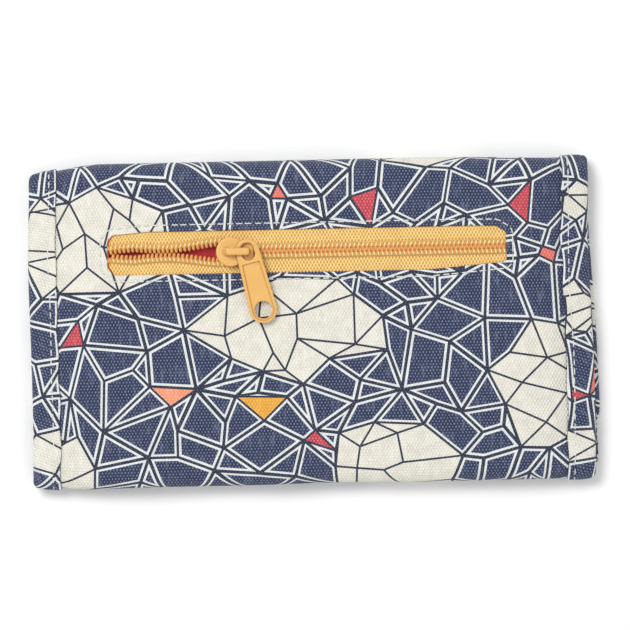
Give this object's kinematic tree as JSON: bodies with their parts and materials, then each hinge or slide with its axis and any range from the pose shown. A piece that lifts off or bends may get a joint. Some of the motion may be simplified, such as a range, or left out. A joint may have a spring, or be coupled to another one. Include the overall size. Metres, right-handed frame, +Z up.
{
  "type": "zippered pouch",
  "caption": "Flat folded canvas wallet with a printed mosaic cloth, bias-bound sides, a zip pocket on its back with a slider and pull, a flap behind and a snap",
  "frame": {"origin": "centre of the bounding box in plan, on the plane the wallet lies on", "axes": "+X along the zip towards its closed end, +Y towards the rolled fold between back and flap, +Z up out of the zip side"},
  "size_m": [0.195, 0.1146, 0.0199],
  "materials": {
    "printed_canvas": "cotton canvas printed with a mosaic, plain weave",
    "binding": "the same printed canvas cut on the bias and folded",
    "lining": "crimson cotton lining, fine weave",
    "interlining": "off-white fusible fleece",
    "zip_tape": "mustard woven tape",
    "zip_coil": "mustard nylon coil, satin",
    "zip_metal": "mustard enamel on zinc, satin gloss",
    "thread": "off-white polyester thread",
    "snap_metal": "antique brass, satin"
  },
  "bodies": {
    "body": {"outer_canvas": "printed_canvas", "body_lining": "lining", "fold_facing": "lining", "back_interlining": "interlining", "zip_pocket_bag": "lining", "window_facing": "lining", "body_binding_left": "binding", "body_binding_right": "binding", "window_topstitch": "thread", "binding_stitches_left": "thread", "binding_stitches_right": "thread", "card_slot_upper_left": "lining", "card_slot_upper_right": "lining", "card_slot_lower_left": "lining", "card_slot_lower_right": "lining", "zip_tape_upper": "zip_tape", "zip_tape_lower": "zip_tape", "zip_coil_upper": "zip_coil", "zip_coil_lower": "zip_coil", "snap_stud": "snap_metal", "snap_post": "snap_metal"},
    "zip_slider": {"slider": "zip_metal"},
    "zip_pull": {"puller": "zip_metal"},
    "fold": {"fold_canvas": "printed_canvas", "fold_lining": "lining", "fold_binding_left": "binding", "fold_binding_right": "binding"},
    "flap": {"flap_canvas": "printed_canvas", "flap_interlining": "interlining", "flap_lining": "lining", "flap_binding": "binding", "snap_cap": "snap_metal", "snap_socket": "snap_metal"}
  },
  "joints": [
    {"name": "zip_slide", "type": "slide", "parent": "body", "child": "zip_slider", "axis": [1, 0, 0], "range_m": [-0.0365, 0.085]},
    {"name": "pull_swivel", "type": "hinge", "parent": "zip_slider", "child": "zip_pull", "pos_m": [-0.02135, 0.0248, 0.0173], "axis": [0, 0, 1], "range_deg": [-45, 195]},
    {"name": "fold_open", "type": "hinge", "parent": "body", "child": "fold", "pos_m": [0, 0.05522, 0.01262], "axis": [1, 0, 0], "range_deg": [0, 90]},
    {"name": "flap_open", "type": "hinge", "parent": "fold", "child": "flap", "pos_m": [0, 0.05522, 0.00208], "axis": [1, 0, 0], "range_deg": [0, 90]}
  ],
  "couplings": [
    {"joint": "flap_open", "follows": "fold_open", "ratio": 1}
  ]
}
